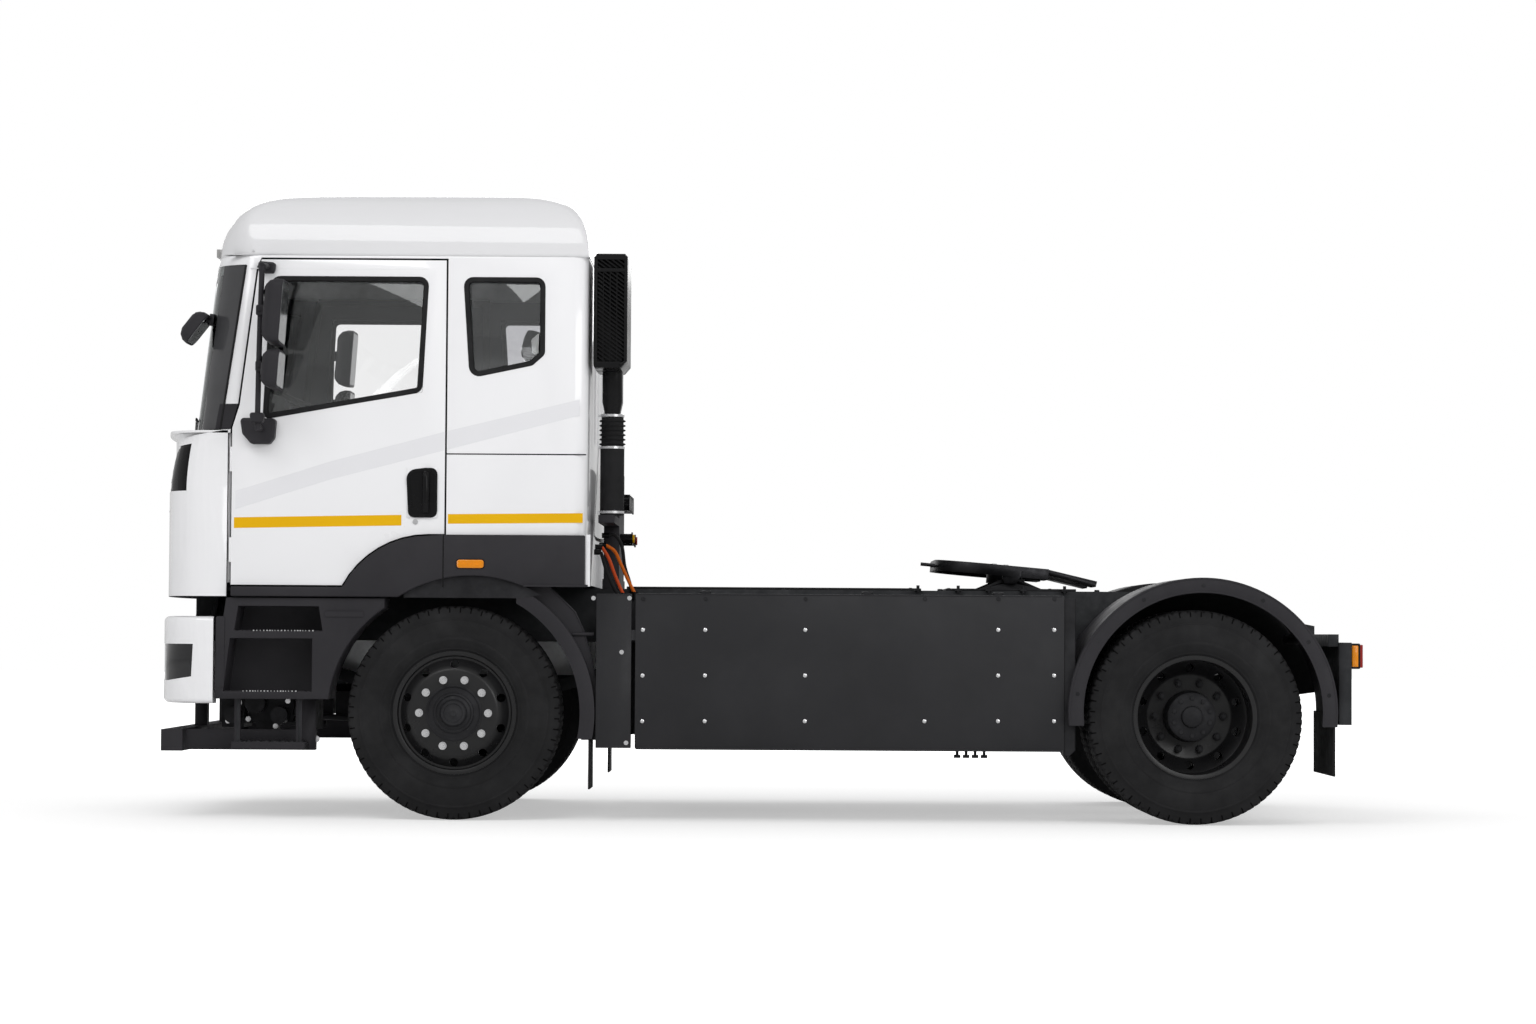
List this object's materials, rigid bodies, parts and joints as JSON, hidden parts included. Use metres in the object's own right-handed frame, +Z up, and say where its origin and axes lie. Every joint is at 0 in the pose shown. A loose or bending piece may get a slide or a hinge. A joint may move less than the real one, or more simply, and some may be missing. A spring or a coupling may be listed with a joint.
{
  "type": "semi truck tractor unit",
  "caption": "Two-axle cab-over tractor with a tilting cab, opening doors, steered front wheels, twin rear wheels and a pitching trailer coupling.",
  "frame": {"origin": "on the ground, under the middle of the vehicle's length and width", "axes": "+X forward, +Y to the vehicle's left, +Z up"},
  "size_m": [5.96, 3.11, 3.097],
  "materials": {
    "cab_paint": "white cab paint, glossy",
    "dark_trim": "dark grey grained plastic",
    "black_panel": "black satin side panels",
    "chassis_paint": "dark grey chassis paint",
    "cast_parts": "cast and forged axle parts, painted dark",
    "machined": "cast aluminium housings",
    "tyre_rubber": "tyre rubber",
    "rim_paint": "dark grey wheel paint with bright nuts",
    "flap_rubber": "black rubber",
    "window": "tinted window glass",
    "lamp_clear": "clear lamp glass",
    "lamp_red": "red lamp lens",
    "lamp_amber": "amber lamp lens",
    "interior": "grey interior plastic",
    "seat_cloth": "dark seat cloth"
  },
  "bodies": {
    "chassis": {"frame": "chassis_paint", "cab_mounts": "chassis_paint", "front_axle_beam": "cast_parts", "front_springs": "cast_parts", "rear_axle": "cast_parts", "rear_springs": "cast_parts", "drive_motor": "machined", "propeller_shaft": "cast_parts", "power_unit": "machined", "battery_left": "chassis_paint", "battery_right": "chassis_paint", "side_cover_left": "black_panel", "side_cover_right": "black_panel", "bumper": "cab_paint", "headlamps": "lamp_clear", "underrun_beam": "dark_trim", "step_unit_left": "dark_trim", "step_unit_right": "dark_trim", "front_mudguards": "dark_trim", "rear_mudguards": "dark_trim", "mud_flaps": "flap_rubber", "coupling_base": "cast_parts", "tail_lamps": "lamp_red", "air_duct": "flap_rubber", "service_column": "dark_trim"},
    "cab": {"cab_hinges": "chassis_paint", "cab_shell": "cab_paint", "cab_roof": "cab_paint", "front_panel": "cab_paint", "grille": "black_panel", "windscreen": "window", "quarter_glass": "window", "cab_trim": "dark_trim", "dashboard": "interior", "seat_frames": "interior", "seat_cushions": "seat_cloth", "locker": "interior", "air_intake": "dark_trim", "front_mirror": "dark_trim", "wipers": "dark_trim", "roof_lamps": "lamp_amber"},
    "door_left": {"door_left": "cab_paint", "door_left_glass": "window", "door_left_mirror": "dark_trim"},
    "door_right": {"door_right": "cab_paint", "door_right_glass": "window", "door_right_mirror": "dark_trim"},
    "steering_wheel": {"steering_wheel": "interior"},
    "knuckle_left": {"knuckle_left": "cast_parts"},
    "knuckle_right": {"knuckle_right": "cast_parts"},
    "track_rod": {"track_rod": "cast_parts"},
    "wheel_front_left": {"front_tyre_left": "tyre_rubber", "front_rim_left": "rim_paint"},
    "wheel_front_right": {"front_tyre_right": "tyre_rubber", "front_rim_right": "rim_paint"},
    "wheels_rear_left": {"rear_tyres_left": "tyre_rubber", "rear_rims_left": "rim_paint"},
    "wheels_rear_right": {"rear_tyres_right": "tyre_rubber", "rear_rims_right": "rim_paint"},
    "coupling": {"coupling_plate": "cast_parts"}
  },
  "joints": [
    {"name": "cab_tilt", "type": "hinge", "parent": "chassis", "child": "cab", "pos_m": [2.77, 0, 0.9], "axis": [0, 1, 0], "range_deg": [0, 50]},
    {"name": "door_left_hinge", "type": "hinge", "parent": "cab", "child": "door_left", "pos_m": [2.535, 1.194, 1.9], "axis": [0, 0, -1], "range_deg": [0, 70]},
    {"name": "door_right_hinge", "type": "hinge", "parent": "cab", "child": "door_right", "pos_m": [2.535, -1.194, 1.9], "axis": [0, 0, 1], "range_deg": [0, 70]},
    {"name": "steer_left", "type": "hinge", "parent": "chassis", "child": "knuckle_left", "pos_m": [1.44, 0.85, 0.522], "axis": [0, 0, 1], "range_deg": [-40, 40]},
    {"name": "steer_right", "type": "hinge", "parent": "chassis", "child": "knuckle_right", "pos_m": [1.44, -0.85, 0.522], "axis": [0, 0, 1], "range_deg": [-40, 40]},
    {"name": "track_rod_end", "type": "hinge", "parent": "knuckle_left", "child": "track_rod", "pos_m": [1.24, 0.85, 0.425], "axis": [0, 0, 1], "range_deg": [-40, 40]},
    {"name": "steering_column", "type": "hinge", "parent": "cab", "child": "steering_wheel", "pos_m": [2.438, -0.56, 2.14], "axis": [-0.3907, 0, 0.9205], "range_deg": [-720, 720]},
    {"name": "spin_front_left", "type": "hinge", "parent": "knuckle_left", "child": "wheel_front_left", "pos_m": [1.44, 1.03, 0.522], "axis": [0, 1, 0], "continuous": true},
    {"name": "spin_front_right", "type": "hinge", "parent": "knuckle_right", "child": "wheel_front_right", "pos_m": [1.44, -1.03, 0.522], "axis": [0, 1, 0], "continuous": true},
    {"name": "spin_rear_left", "type": "hinge", "parent": "chassis", "child": "wheels_rear_left", "pos_m": [-2.16, 0.925, 0.522], "axis": [0, 1, 0], "continuous": true},
    {"name": "spin_rear_right", "type": "hinge", "parent": "chassis", "child": "wheels_rear_right", "pos_m": [-2.16, -0.925, 0.522], "axis": [0, 1, 0], "continuous": true},
    {"name": "coupling_pitch", "type": "hinge", "parent": "chassis", "child": "coupling", "pos_m": [-1.318, 0, 1.205], "axis": [0, 1, 0], "range_deg": [0, 12]}
  ],
  "couplings": [
    {"joint": "steer_right", "follows": "steer_left", "ratio": 1},
    {"joint": "track_rod_end", "follows": "steer_left", "ratio": -1},
    {"joint": "steering_column", "follows": "steer_left", "ratio": 18}
  ]
}
